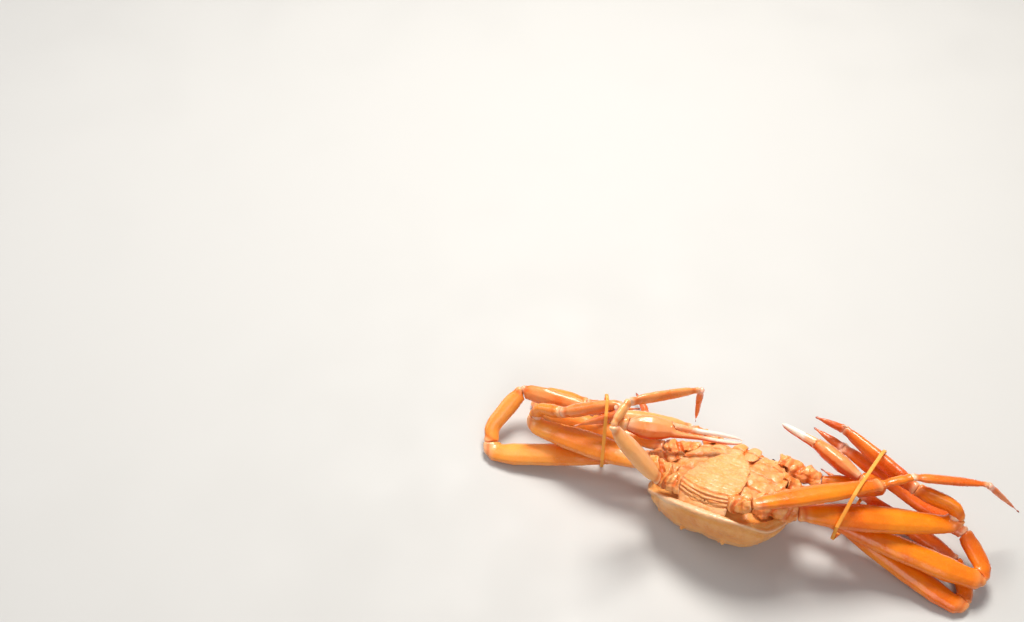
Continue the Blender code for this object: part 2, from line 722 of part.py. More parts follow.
def section_points(obj, centre, normal):
    """Points where a plane cuts an object."""
    mesh_data = bmesh.new()
    mesh_data.from_mesh(obj.data)
    parts = mesh_data.verts[:] + mesh_data.edges[:] + mesh_data.faces[:]
    cut = bmesh.ops.bisect_plane(mesh_data, geom=parts, plane_co=centre, plane_no=normal)
    points = [part.co.copy() for part in cut["geom_cut"] if isinstance(part, bmesh.types.BMVert)]
    mesh_data.free()
    return points


def touching_outline(points, clearance):
    """A convex outline round the points: lines that touch their hull, moved out by a clearance."""
    hull = [points[i] for i in convex_hull_2d(points)]
    angles = [math.tau * k / BAND_EVEN_SIDES for k in range(BAND_EVEN_SIDES)]
    for here, after in zip(hull, hull[1:] + hull[:1]):
        edge = after - here
        if edge.length > 2.0 * MM:
            facing = math.atan2(-edge.x, edge.y)
            if facing_in(hull, here, facing):
                facing += math.pi
            facing %= math.tau
            angles = [a for a in angles if turn_between(a, facing) > math.radians(9.0)] + [facing]
    angles.sort()
    lines = []
    for angle in angles:
        out = Vector((math.cos(angle), math.sin(angle)))
        lines.append((out, max(point.dot(out) for point in hull) + clearance))
    corners = []
    for (n0, d0), (n1, d1) in zip(lines, lines[1:] + lines[:1]):
        cross = n0.x * n1.y - n0.y * n1.x
        corners.append(Vector((d0 * n1.y - d1 * n0.y, d1 * n0.x - d0 * n1.x)) / cross)
    return corners


def facing_in(hull, start, angle):
    """Whether a direction at a hull point looks into the hull."""
    out = Vector((math.cos(angle), math.sin(angle)))
    return sum((point - start).dot(out) for point in hull) > 0


def turn_between(first, second):
    """The smaller angle between two directions."""
    return abs((first - second + math.pi) % math.tau - math.pi)


def make_band(word):
    """A thin strip stretched round one leg bundle, a little clear of every leg in it."""
    at, facing = BAND_PLANES[word]
    centre = place(at)
    normal = Vector(facing).normalized()
    up = Vector((0, 0, 1))
    side = up.cross(normal)
    legs = [obj for obj in bpy.data.objects if obj.name.startswith((word + "_leg", word + "_claw"))
            and not obj.name.startswith("left_leg_5")]
    flat = []
    for shift in (-0.55, -0.27, 0.0, 0.27, 0.55):
        middle = centre + normal * (shift * BAND_WIDTH * MM)
        for leg in legs:
            for point in section_points(leg, middle, normal):
                offset = point - centre
                flat.append(Vector((offset.dot(side), offset.dot(up))))
    inner = touching_outline(flat, BAND_CLEARANCE * MM)
    outer = touching_outline(flat, (BAND_CLEARANCE + BAND_THICKNESS) * MM)
    mesh_data = bmesh.new()
    rows = []
    for outline, shift in ((inner, -0.5), (outer, -0.5), (outer, 0.5), (inner, 0.5)):
        rows.append([mesh_data.verts.new(centre + normal * (shift * BAND_WIDTH * MM)
                                         + side * p.x + up * p.y) for p in outline])
    total = len(inner)
    for a, b in zip(rows, rows[1:] + rows[:1]):
        for i in range(total):
            j = (i + 1) % total
            mesh_data.faces.new((a[i], a[j], b[j], b[i]))
    make_object("band_" + word, mesh_data, BAND)


def centre_on_floor():
    """Moves the whole animal so that the origin is the middle of its box, on the floor."""
    nodes = [obj for obj in bpy.data.objects if obj.type == "MESH"]
    xs = [vert.co.x for obj in nodes for vert in obj.data.vertices]
    ys = [vert.co.y for obj in nodes for vert in obj.data.vertices]
    shift = Matrix.Translation((-(min(xs) + max(xs)) / 2, -(min(ys) + max(ys)) / 2, 0.0))
    for obj in nodes:
        obj.data.transform(shift)


def build():
    """Clears the scene and makes every node."""
    for obj in list(bpy.data.objects):
        bpy.data.objects.remove(obj)
    carapace = make_carapace()
    thorax = make_thorax()
    abdomen = make_abdomen()
    meet(abdomen, (thorax, carapace))
    make_mouthparts(thorax, carapace)
    make_small_parts(carapace)
    for word in ("right", "left"):
        make_claw(word, thorax, carapace)
        for number in (2, 3, 4, 5):
            make_leg(word, number, (thorax, carapace, abdomen))
    rest_on_floor(list(bpy.data.objects))
    for word in ("right", "left"):
        make_band(word)
    centre_on_floor()


build()
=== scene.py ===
# %% [markdown]
# # A boiled red snow crab, belly up
#
# This lesson dresses the frame of a crab that lies on its back, its legs folded and gathered
# in two bundles. The frame is made of plain closed solids, one for each shell article. Each of
# them gets a smooth, detailed skin here, and every finish is made from nodes.

import math

import bpy
import numpy as np
from mathutils import Matrix, Vector
from mathutils.kdtree import KDTree


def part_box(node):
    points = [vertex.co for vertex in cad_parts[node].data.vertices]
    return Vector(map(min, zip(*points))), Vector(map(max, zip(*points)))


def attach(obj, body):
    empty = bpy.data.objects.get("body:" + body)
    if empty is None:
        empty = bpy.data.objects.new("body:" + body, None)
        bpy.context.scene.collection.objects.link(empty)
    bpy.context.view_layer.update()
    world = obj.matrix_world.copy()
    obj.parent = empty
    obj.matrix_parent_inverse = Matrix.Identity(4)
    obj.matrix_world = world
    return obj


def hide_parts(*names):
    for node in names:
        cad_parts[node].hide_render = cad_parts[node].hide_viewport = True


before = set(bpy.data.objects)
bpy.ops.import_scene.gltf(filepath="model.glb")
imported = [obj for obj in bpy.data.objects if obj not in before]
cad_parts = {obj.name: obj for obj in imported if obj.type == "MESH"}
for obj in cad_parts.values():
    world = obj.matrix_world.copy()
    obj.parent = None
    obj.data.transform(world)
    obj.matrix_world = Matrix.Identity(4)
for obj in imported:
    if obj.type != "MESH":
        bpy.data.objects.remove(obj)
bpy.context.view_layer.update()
MM = 0.001  # one millimetre, in the scene's metres
print("frame nodes:", len(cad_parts))

# %% [markdown]
# ## The camera
#
# The camera looks down by 47.5 degrees. It could be aimed at the crab with a constraint and the
# picture cropped, but the perspective would then differ from the true one. Its place and its lens
# were worked out beforehand from the photo's perspective, so here they are only written down. The
# crab sits low and to the right in the picture, because the lens isn't pointed at it.

# %% Camera
PITCH = math.radians(47.5)
CAMERA_AT = Vector((0.1005, -0.4485, 0.66))
LOOK = Vector((-0.530 * math.cos(PITCH), 0.848 * math.cos(PITCH), -math.sin(PITCH)))
bpy.ops.object.select_all(action="DESELECT")
bpy.ops.object.camera_add(location=CAMERA_AT, rotation=LOOK.to_track_quat("-Z", "Y").to_euler())
camera = bpy.context.object
camera.data.lens = 39.4
camera.data.sensor_width = 36.0
bpy.context.scene.camera = camera
print("camera looks down", round(math.degrees(PITCH), 1), "degrees")

# %% [markdown]
# ## Floor and light
#
# A plain pale floor shows the contact shadows. The highlights belong on the upper left of each
# leg, so the main light comes from behind on the left. A sun would give hard shadows and small
# highlights, so it is a soft square lamp, with weaker ones in front and at the left to open the
# shadows. The Standard view transform keeps the boiled shell's strong orange, where the default
# one greys such colours as they get bright.

# %% Floor and lamps
bpy.ops.mesh.primitive_plane_add(size=6.0, location=(0.0, 0.0, 0.0))
floor = bpy.context.object
floor.name = "floor"


def lamp(name, place, size, power, colour):
    """One soft square lamp that looks at the crab."""
    aim = (Vector((0.0, 0.0, 0.03)) - Vector(place)).to_track_quat("-Z", "Y").to_euler()
    bpy.ops.object.light_add(type="AREA", location=place, rotation=aim)
    made = bpy.context.object
    made.name = name
    made.data.size = size
    made.data.energy = power
    made.data.color = colour


lamp("key_light", (-0.35, 0.55, 1.25), 0.5, 24.0, (1.0, 0.97, 0.92))
lamp("front_light", (0.6, -0.9, 1.2), 0.9, 7.0, (1.0, 0.98, 0.96))
lamp("left_light", (-1.2, -0.2, 0.9), 0.8, 5.0, (0.97, 0.98, 1.0))
world = bpy.data.worlds.new("studio")
bpy.context.scene.world = world
world.use_nodes = True
world.node_tree.nodes["Background"].inputs["Color"].default_value = (0.95, 0.96, 1.0, 1.0)
world.node_tree.nodes["Background"].inputs["Strength"].default_value = 0.24
bpy.context.scene.view_settings.view_transform = "Standard"

# %% [markdown]
# ## Node helpers
#
# A finish is a Principled shader with patterns that feed its colour, roughness and bump. A few
# short helpers keep each material readable: they add a node, mix two colours, or turn a value
# into a soft step.

# %% Node helpers


def new_material(name):
    """An empty node material and its Principled shader."""
    made = bpy.data.materials.new(name)
    made.use_nodes = True
    return made, made.node_tree, made.node_tree.nodes["Principled BSDF"]


def feed(tree, value, socket):
    """Joins a socket, or sets a plain number or colour."""
    if isinstance(value, bpy.types.NodeSocket):
        tree.links.new(value, socket)
    elif isinstance(value, tuple):
        socket.default_value = (*value, 1.0)
    else:
        socket.default_value = value


def add(tree, kind, **values):
    """One node, with its inputs fed by name."""
    node = tree.nodes.new(kind)
    for key, value in values.items():
        feed(tree, value, node.inputs[key.replace("_", " ")])
    return node


def mix_colour(tree, factor, low, high):
    """A colour mix whose three inputs may be sockets or values."""
    node = tree.nodes.new("ShaderNodeMix")
    node.data_type = "RGBA"
    for index, value in ((0, factor), (6, low), (7, high)):
        feed(tree, value, node.inputs[index])
    return node.outputs[2]


def maths(tree, operation, first, second):
    """The result of one sum on two sockets or numbers."""
    node = tree.nodes.new("ShaderNodeMath")
    node.operation = operation
    feed(tree, first, node.inputs[0])
    feed(tree, second, node.inputs[1])
    return node.outputs["Value"]


def ramp(tree, value, low, high, end=1.0):
    """A soft step of a value, from 0 at one level to its end height at the other."""
    node = tree.nodes.new("ShaderNodeMapRange")
    node.interpolation_type = "SMOOTHSTEP"
    node.inputs["From Min"].default_value = low
    node.inputs["From Max"].default_value = high
    node.inputs["To Max"].default_value = end
    tree.links.new(value, node.inputs["Value"])
    return node.outputs["Result"]


# %% [markdown]
# ## The floor's finish
#
# A smooth pale sheet. One even value would do for the roughness, but a faint noise in it breaks up
# the reflections and keeps the sheet from looking like a void.

# %% Floor finish
floor_look, tree, shader = new_material("pale_floor")
shader.inputs["Base Color"].default_value = (0.55, 0.54, 0.52, 1.0)
sheet_noise = add(tree, "ShaderNodeTexNoise", Scale=14.0)
tree.links.new(add(tree, "ShaderNodeTexCoord").outputs["Object"], sheet_noise.inputs["Vector"])
tree.links.new(ramp(tree, sheet_noise.outputs["Fac"], -1.0, 1.5), shader.inputs["Roughness"])
floor.data.materials.append(floor_look)
print("floor finish:", floor_look.name)

# %% [markdown]
# ## Shell grain, a shared effect
#
# Crab shell isn't even. It has fine pores, flecks and soft cloudy patches where the pigment is
# thinner. Each material could have its own noises, but they would have to be kept alike by hand. A
# group makes the patterns once, and each material uses it with its own sizes.

# %% Shell grain group
grain = bpy.data.node_groups.new("shell_grain", "ShaderNodeTree")
for socket in ("Cloud Scale", "Fleck Scale"):
    grain.interface.new_socket(socket, in_out="INPUT", socket_type="NodeSocketFloat")
for socket in ("Clouds", "Flecks", "Height"):
    grain.interface.new_socket(socket, in_out="OUTPUT", socket_type="NodeSocketFloat")
inside = grain.nodes.new("NodeGroupInput").outputs
outside = grain.nodes.new("NodeGroupOutput").inputs
where = add(grain, "ShaderNodeTexCoord").outputs["Object"]
clouds = add(grain, "ShaderNodeTexNoise", Vector=where, Scale=inside["Cloud Scale"], Detail=4.0,
             Roughness=0.55, Distortion=0.4)
flecks = add(grain, "ShaderNodeTexNoise", Vector=where, Scale=inside["Fleck Scale"], Detail=3.0,
             Roughness=0.7)
pores = add(grain, "ShaderNodeTexVoronoi", Vector=where, Scale=inside["Fleck Scale"])
grain.links.new(ramp(grain, clouds.outputs["Fac"], 0.22, 0.78), outside["Clouds"])
grain.links.new(ramp(grain, flecks.outputs["Fac"], 0.45, 0.72), outside["Flecks"])
pits = ramp(grain, pores.outputs["Distance"], 0.0, 0.45)
grain.links.new(maths(grain, "ADD", pits, flecks.outputs["Fac"]), outside["Height"])
print("shell grain nodes:", len(grain.nodes))

# %% [markdown]
# ## The shell finishes
#
# Boiled shell is a thin, slightly see-through, moist skin over pale flesh. A subsurface weight
# gives the glow, and a thin coat gives the wet shine. The pigment is strongest in the middle of an
# article and thins out to pale pink or cream at its joints, and part of this paleness is a painted
# highlight, so each piece gets an attribute called "along" that runs from 0 at its root to 1 at its
# tip. A second attribute is 1 in the creases, where a darker colour is painted in as shade; on the
# carapace the same attribute marks its pale bead, the shell's own colour. A painted picture could
# hold both, but it would need an unwrapped skin, and numbers stored on the points don't.

# %% Shell finish


def shell_finish(name, deep, bright, pale, cloud=32.0, fleck=900.0, ends=0.10, roughness=0.30,
                 bump=0.3, coat=0.5, tip=None, tip_from=0.6, shade_and_bead_colour=(0.70, 0.12, 0.01),
                 fleck_share=0.12):
    """Pigmented shell: cloudy between two colours, paler at its ends, partly as a painted
    highlight, and given a second colour where marked: painted shade in creases, the pale bead on
    the carapace.
    """
    look, tree, shader = new_material(name)
    group = tree.nodes.new("ShaderNodeGroup")
    group.node_tree = grain
    group.inputs["Cloud Scale"].default_value = cloud
    group.inputs["Fleck Scale"].default_value = fleck
    colour = mix_colour(tree, group.outputs["Clouds"], deep, bright)
    along = tree.nodes.new("ShaderNodeAttribute")
    along.attribute_name = "along"
    # The pale ends are partly paler shell at the joints and partly a painted highlight.
    to_end = maths(tree, "PINGPONG", along.outputs["Fac"], 0.5)
    colour = mix_colour(tree, ramp(tree, to_end, ends, 0.0, 0.8), colour, pale)
    flecked = maths(tree, "MULTIPLY", group.outputs["Flecks"], fleck_share)
    colour = mix_colour(tree, flecked, colour, pale)
    if tip:
        wavy = maths(tree, "MULTIPLY", group.outputs["Clouds"], 0.12)
        reach = maths(tree, "ADD", along.outputs["Fac"], wavy)
        colour = mix_colour(tree, ramp(tree, reach, tip_from, tip_from + 0.16), colour, tip)
    # Where marked, the colour turns to painted shade in creases; on the carapace it turns to the
    # bead's own cream.
    shade_and_bead = tree.nodes.new("ShaderNodeAttribute")
    shade_and_bead.attribute_name = "shade_and_bead"
    colour = mix_colour(tree, shade_and_bead.outputs["Fac"], colour, shade_and_bead_colour)
    tree.links.new(colour, shader.inputs["Base Color"])
    wet = add(tree, "ShaderNodeMapRange", Value=group.outputs["Clouds"], To_Min=roughness - 0.08,
              To_Max=roughness + 0.1)
    tree.links.new(wet.outputs["Result"], shader.inputs["Roughness"])
    relief = add(tree, "ShaderNodeBump", Strength=bump, Distance=0.3 * MM,
                 Height=group.outputs["Height"])
    tree.links.new(relief.outputs["Normal"], shader.inputs["Normal"])
    shader.inputs["Specular IOR Level"].default_value = 0.35
    shader.inputs["Subsurface Weight"].default_value = 0.15
    shader.inputs["Subsurface Radius"].default_value = (1.0, 0.4, 0.12)
    shader.inputs["Subsurface Scale"].default_value = 3.0 * MM
    shader.inputs["Coat Weight"].default_value = coat
    shader.inputs["Coat Roughness"].default_value = 0.2
    return look


# %% [markdown]
# ## The leg and claw finishes
#
# The legs on the right are a deep orange, those on the left lighter and more coral, and the raised
# leg is the palest. Far ends are redder. The fingers of the claws are ivory, with a pink root.
# They are all one kind of shell, so the same function makes them from different colours.

# %% Leg finishes
PALE_JOINT = (0.93, 0.40, 0.14)
CREAM = (0.93, 0.62, 0.36)
right_look = shell_finish("right_leg_orange", (0.80, 0.115, 0.001), (0.98, 0.28, 0.002),
                          PALE_JOINT)
right_far_look = shell_finish("right_leg_far_end", (0.70, 0.075, 0.002), (0.92, 0.22, 0.008),
                              (0.94, 0.56, 0.32), cloud=50.0)
left_look = shell_finish("left_leg_coral", (0.88, 0.21, 0.012), (0.98, 0.38, 0.06),
                         (0.94, 0.52, 0.28))
raised_look = shell_finish("raised_leg_pale_coral", (0.92, 0.35, 0.08), (0.98, 0.50, 0.19),
                           (0.94, 0.56, 0.32))
left_far_look = shell_finish("left_leg_far_end", (0.84, 0.17, 0.015), (0.95, 0.36, 0.10),
                             (0.94, 0.58, 0.38), cloud=50.0)
dactyl_look = shell_finish("walking_dactyl", (0.74, 0.11, 0.01), (0.90, 0.27, 0.06),
                           (0.92, 0.55, 0.40), tip=(0.42, 0.08, 0.04), tip_from=0.86, ends=0.2)
# The palm's marked colour is a deep red orange, painted as shade where it faces down.
palm_look = shell_finish("palm", (0.88, 0.25, 0.05), (0.94, 0.37, 0.13), (0.94, 0.50, 0.30),
                         tip=(0.90, 0.68, 0.54), tip_from=0.66, cloud=45.0,
                         shade_and_bead_colour=(0.70, 0.075, 0.001))
finger_look = shell_finish("ivory_finger", (0.90, 0.36, 0.14), (0.93, 0.48, 0.26),
                           (0.92, 0.42, 0.20), tip=(0.88, 0.76, 0.66), tip_from=0.30, cloud=120.0,
                           ends=0.2, roughness=0.28)
print("leg finishes:", right_look.name, left_look.name, dactyl_look.name, palm_look.name)

# %% [markdown]
# ## The belly's finishes
#
# The belly shell has far less pigment than the legs. It is peach with cream flecks, with a darker
# orange painted in each crease as shade. The carapace is tan, and for it the marked colour is a
# cream that marks its raised rim. Joint membrane is thin and pale, with a finer grain.

# %% Belly finish
# The marked colour of the belly and the leg bases is painted shade in their creases.
belly_look = shell_finish("belly_peach", (0.83, 0.31, 0.06), (0.88, 0.45, 0.19), CREAM,
                          cloud=120.0, fleck=600.0, ends=0.05, roughness=0.42, bump=0.5, coat=0.25,
                          shade_and_bead_colour=(0.74, 0.16, 0.006), fleck_share=0.45)
base_look = shell_finish("base_peach", (0.86, 0.29, 0.045), (0.91, 0.45, 0.16), CREAM,
                         cloud=150.0, fleck=600.0, ends=0.05, roughness=0.38, bump=0.5, coat=0.35,
                         shade_and_bead_colour=(0.72, 0.12, 0.003), fleck_share=0.2)
back_look = shell_finish("back_orange", (0.74, 0.24, 0.03), (0.86, 0.42, 0.12), CREAM,
                         cloud=70.0, fleck=500.0, ends=0.02, roughness=0.42, bump=0.6,
                         shade_and_bead_colour=(0.84, 0.50, 0.28))
membrane_look = shell_finish("joint_membrane", (0.88, 0.42, 0.24), (0.94, 0.66, 0.48), CREAM,
                             cloud=300.0, fleck=1500.0, ends=0.0, roughness=0.3, bump=0.3)
print("belly finishes:", belly_look.name, base_look.name, back_look.name)

# %% [markdown]
# ## The shell's own frame
#
# The body lies tipped: its mouth end is low and its right side is up. Seams and swellings are
# easiest to place in the animal's own directions, u to its side, v to its mouth and w out of the
# belly, so one matrix leads from them to the floor's frame. Its values are those of the frame's
# source.

# %% Body frame
BODY_TURN = (Matrix.Rotation(math.radians(-6.0), 4, "Z")
             @ Matrix.Rotation(math.radians(-21.0), 4, "X")
             @ Matrix.Rotation(math.radians(-14.0), 4, "Y"))
BODY_AT = Vector((-2.71, -11.04, 38.2)) * MM
BODY_SCALE = 0.94
BODY = Matrix.Translation(BODY_AT) @ BODY_TURN @ Matrix.Scale(BODY_SCALE * MM, 4)
TO_BODY = np.array(BODY.inverted())
print("the body's middle is", round(BODY_AT.z / MM, 1), "mm above the floor")


def points_of(obj):
    """A mesh's points as an array of metres."""
    flat = np.empty(3 * len(obj.data.vertices))
    obj.data.vertices.foreach_get("co", flat)
    return flat.reshape(-1, 3)


def body_points(obj):
    """A mesh's points as u, v and w in the shell's own millimetres."""
    points = points_of(obj)
    return points @ TO_BODY[:3, :3].T + TO_BODY[:3, 3]


def normals_of(obj):
    """The outward directions at a mesh's points."""
    flat = np.empty(3 * len(obj.data.vertices))
    obj.data.vertices.foreach_get("normal", flat)
    return flat.reshape(-1, 3)


def push(obj, amount):
    """Moves every point along its normal by an array of millimetres."""
    moved = points_of(obj) + normals_of(obj) * (np.asarray(amount) * MM)[:, None]
    obj.data.vertices.foreach_set("co", moved.ravel())
    obj.data.update()


def bell(x, width):
    """1 at zero, falling off smoothly on both sides."""
    return np.exp(-(x / width) ** 2)


def step(low, high, x):
    """A smooth step from 0 to 1."""
    t = np.clip((x - low) / (high - low), 0.0, 1.0)
    return t * t * (3.0 - 2.0 * t)


# %% [markdown]
# ## Skins over the frame
#
# Each article's shell could be built again from primitives, but its plain solid is already the
# right size in the right place, so the skin starts as a copy of it. A fine voxel remesh turns the
# copy into even small faces, which a subdivision of its long triangles wouldn't give. A smoothing
# pass rounds the flat sides off, and then it can be sculpted. Working on a copy keeps the frame
# untouched.

# %% Skin helpers


def copy_of(node, name):
    """A merged copy of a frame node, active and the only thing selected."""
    bpy.ops.object.select_all(action="DESELECT")
    made = bpy.data.objects.new(name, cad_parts[node].data.copy())
    bpy.context.scene.collection.objects.link(made)
    made.select_set(True)
    bpy.context.view_layer.objects.active = made
    made.data.materials.clear()
    bpy.ops.object.mode_set(mode="EDIT")
    bpy.ops.mesh.select_all(action="SELECT")
    bpy.ops.mesh.remove_doubles(threshold=0.00001)
    bpy.ops.object.mode_set(mode="OBJECT")
    return made


def modify(obj, kind, **values):
    """Adds a modifier with its values and applies it."""
    modifier = obj.modifiers.new(kind.lower(), kind)
    for key, value in values.items():
        setattr(modifier, key, value)
    bpy.context.view_layer.objects.active = obj
    bpy.ops.object.modifier_apply(modifier=modifier.name)


def pattern(name, kind, size, **values):
    """A procedural texture for the Displace modifier, its size in millimetres."""
    made = bpy.data.textures.new(name, kind)
    made.noise_scale = size * MM
    for key, value in values.items():
        setattr(made, key, value)
    return made


def roughen(obj, texture, strength, middle=0.5):
    """Displaces a skin along its normals by a pattern, in millimetres."""
    modify(obj, "DISPLACE", texture=texture, texture_coords="LOCAL", strength=strength * MM,
           mid_level=middle)


def middle_of(node):
    """The middle of a frame node's box."""
    low, high = (Vector(corner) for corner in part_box(node))
    return (low + high) / 2


def mark(obj, name, values):
    """Stores one number a point under a name that the materials read."""
    layer = obj.data.attributes.get(name) or obj.data.attributes.new(name, "FLOAT", "POINT")
    layer.data.foreach_set("value", np.asarray(values, dtype=np.float32))


def along_of(obj, root):
    """Each point's place along the piece, 0 at the end nearer the root and 1 at the other."""
    points = points_of(obj)
    centre = points.mean(axis=0)
    far = points[np.argmax(((points - centre) ** 2).sum(axis=1))]
    other = points[np.argmax(((points - far) ** 2).sum(axis=1))]
    if (Vector(far) - root).length > (Vector(other) - root).length:
        far, other = other, far
    axis = other - far
    return (points - far) @ axis / (axis @ axis)


def skin(node, root, voxel=0.8, rounds=8, extras=()):
    """The smooth skin of one frame node, with extra closed pieces fused in."""
    made = copy_of(node, node + "_skin")
    for extra in extras:
        extra.select_set(True)
    if extras:
        bpy.ops.object.join()
    modify(made, "REMESH", mode="VOXEL", voxel_size=voxel * MM)
    modify(made, "SMOOTH", factor=0.5, iterations=rounds)
    mark(made, "along", along_of(made, root))
    mark(made, "shade_and_bead", np.zeros(len(made.data.vertices)))
    return made


def dress(made, node, look):
    """Gives a finished skin its look and its place in the frame."""
    made.data.materials.append(look)
    bpy.ops.object.select_all(action="DESELECT")
    made.select_set(True)
    bpy.context.view_layer.objects.active = made
    bpy.ops.object.shade_smooth()
    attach(made, "root")
    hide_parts(node)


# %% [markdown]
# ## The legs
#
# A walking leg has a long merus, a short carpus at the knee, a propodus and a pointed dactyl. Each
# article closes with a thin rim, behind which lies a slightly sunk neck, darkened with painted
# shade, and low tubercles are scattered over it. Rims could be separate rings, but on the real leg
# they are part of the shell, so a formula pushes them out of the skin by their distance to the
# nearer end. The tubercles come from a cell pattern, of which only the peaks are used: thousands of
# small cones would be far heavier.

# %% Leg articles
tubercle_cells = pattern("tubercle_cells", "VORONOI", 4.0, distance_metric="DISTANCE",
                         noise_intensity=1.0, use_color_ramp=True)
peak, foot = tubercle_cells.color_ramp.elements
peak.position = 0.0
peak.color = (1.0, 1.0, 1.0, 1.0)
foot.position = 0.16
foot.color = (0.0, 0.0, 0.0, 1.0)
soft_swell = pattern("soft_swell", "CLOUDS", 14.0)
TUBERCLE_HEIGHT = 0.35
LEG_SWELL = 0.8


def joint_rims(from_end):
    """Swell by the distance to an article's end: a raised rim, then a neck, in millimetres."""
    rim_swell = 0.35 * bell(from_end - 1.4, 0.9)
    neck_depth = 0.25 * bell(from_end - 4.2, 1.6)
    return rim_swell - neck_depth


def leg_article(node, root, look):
    """One article of a walking leg or a claw's arm."""
    made = skin(node, root)
    along = along_of(made, root)
    from_end = np.minimum(along, 1.0 - along) * (max(made.dimensions) / MM)
    push(made, joint_rims(from_end))
    roughen(made, soft_swell, LEG_SWELL)
    roughen(made, tubercle_cells, TUBERCLE_HEIGHT, middle=0.0)
    # The neck's groove is darkened with painted shade.
    mark(made, "shade_and_bead", 0.6 * bell(from_end - 4.0, 1.3))
    dress(made, node, look)
    return len(made.data.polygons)


# For each side: the finish of thick articles, of those of the last leg and the claw's arm, and of
# far articles.
SIDE_LOOKS = {"right": (right_look, right_look, right_far_look),
              "left": (left_look, raised_look, left_far_look)}
faces = 0
for side, (near, last, far) in SIDE_LOOKS.items():
    for number in (2, 3, 4, 5):
        name = f"{side}_leg_{number}_"
        thick = last if number == 5 else near
        looks = (("merus", "base", thick), ("carpus", "merus", thick), ("propodus", "carpus", far),
                 ("dactyl", "propodus", dactyl_look))
        for article, root, look in looks:
            faces += leg_article(name + article, middle_of(name + root), look)
    for article, root in (("merus", "base"), ("carpus", "merus")):
        faces += leg_article(f"{side}_claw_{article}", middle_of(f"{side}_claw_{root}"), last)
print("faces in the legs:", faces)

# %% [markdown]
# ## The claws
#
# The palm is swollen and smooth, and runs out into the fixed finger. The movable finger closes
# against it. Both bear a row of blunt teeth where they meet. A Boolean union of each tooth would
# leave a hard edge round it, so small spheres are set along the meeting line and fused with the
# finger by the remesh, which rounds their roots. The palm is pale where it looks up and painted a
# deep red orange as shade below, so how far it faces down is stored on its points.

# %% Claws
TEETH = 6
TOOTH_SPACING = 2.6  # in tooth radii
# Teeth stand where the two fingers are this far apart, in millimetres.
MEETING_NEAR = 1.0
MEETING_FAR = 9.0


def teeth(finger, other, radius):
    """Small spheres along the part of one finger that faces the other."""
    target = KDTree(len(other.data.vertices))
    for vert in other.data.vertices:
        target.insert(vert.co, vert.index)
    target.balance()
    facing = []
    for vert in finger.data.vertices:
        near, _, distance = target.find(vert.co)
        facing.append((distance, vert.co.copy(), near.copy()))
    facing.sort(key=lambda entry: entry[0])
    made = []
    kept = []
    for distance, at, near in facing:
        if len(made) == TEETH or distance > MEETING_FAR * MM:
            break
        crowded = any((at - spot).length < TOOTH_SPACING * radius * MM for spot in kept)
        if distance < MEETING_NEAR * MM or crowded:
            continue
        kept.append(at)
        bpy.ops.mesh.primitive_ico_sphere_add(subdivisions=2, radius=radius * MM,
                                              location=at.lerp(near, 0.05))
        bpy.ops.object.transform_apply(location=True, rotation=False, scale=False)
        made.append(bpy.context.object)
    return made


def underside_shade(obj):
    """0 on the faces that look up and rising to 1 on those that look down."""
    return 1.0 - step(-0.1, 0.85, normals_of(obj)[:, 2])


for side in ("right", "left"):
    palm_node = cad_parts[side + "_claw_palm"]
    finger_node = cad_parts[side + "_claw_dactyl"]
    wrist = middle_of(side + "_claw_carpus")
    palm_teeth = teeth(palm_node, finger_node, 0.8)
    palm = skin(side + "_claw_palm", wrist, voxel=0.5, rounds=18, extras=palm_teeth)
    roughen(palm, soft_swell, 1.0)
    roughen(palm, tubercle_cells, 0.25, middle=0.0)
    # How far each point faces down sets the palm's painted shade.
    mark(palm, "shade_and_bead", underside_shade(palm))
    dress(palm, side + "_claw_palm", palm_look)
    finger_teeth = teeth(finger_node, palm_node, 0.7)
    finger = skin(side + "_claw_dactyl", wrist, voxel=0.4, rounds=6, extras=finger_teeth)
    dress(finger, side + "_claw_dactyl", finger_look)
    print(side, "claw teeth:", len(palm_teeth), len(finger_teeth))

# %% [markdown]
# ## The leg bases
#
# Coxa, basis and ischium are short, knobbly rings that look like a heap of pebbles where the legs
# leave the body. Each knob could be a sphere of its own, but they run into one another, so a cell
# pattern pushes rounded knobs out of one skin, and ring grooves part the articles. The grooves and
# the clefts between the knobs are marked, and so turn a darker orange, a painted shade.

# %% Leg bases
knob_cells = pattern("knob_cells", "VORONOI", 6.5, distance_metric="DISTANCE")
wrinkles = pattern("wrinkles", "CLOUDS", 2.2, noise_depth=2)


def sunk(before, obj):
    """1 where a pattern has pressed the skin in by a millimetre or more, 0 where it hasn't."""
    moved = ((points_of(obj) - before) * normals_of(obj)).sum(axis=1) / MM
    return step(0.1, 1.0, -moved)


# Place along the base, width and share of the full depth of each groove.
RING_GROOVES = ((0.52, 0.035, 1.0), (0.22, 0.03, 0.7), (0.8, 0.03, 0.5))
GROOVE_DEPTH = 1.3
LIP_PLACES = (0.6, 0.43)
LIP_HEIGHT = 0.5
KNOB_HEIGHT = 2.6
bases = []
for side in ("right", "left"):
    for limb in ("claw", "leg_2", "leg_3", "leg_4", "leg_5"):
        node = f"{side}_{limb}_base"
        root = middle_of("thorax")
        made = skin(node, root, voxel=0.55, rounds=6)
        along = along_of(made, root)
        grooves = sum(share * bell(along - place, width) for place, width, share in RING_GROOVES)
        lips = sum(bell(along - place, 0.04) for place in LIP_PLACES)
        push(made, LIP_HEIGHT * lips - GROOVE_DEPTH * grooves)
        before = points_of(made)
        roughen(made, knob_cells, -KNOB_HEIGHT, middle=0.35)
        roughen(made, wrinkles, 0.3)
        # Grooves and clefts get painted shade.
        mark(made, "shade_and_bead", np.clip(0.8 * grooves + 0.45 * sunk(before, made), 0.0, 0.85))
        dress(made, node, base_look)
        bases.append(made)
print("faces in the", len(bases), "leg bases:", sum(len(made.data.polygons) for made in bases))

# %% [markdown]
# ## The sternum
#
# The sternum is a shield of fused plates, with a seam between each pair of legs and knobs near the
# leg bases. Its plates could be cut apart, but they are grown together, so seams and swellings are
# sculpted by formulas in the animal's own directions.

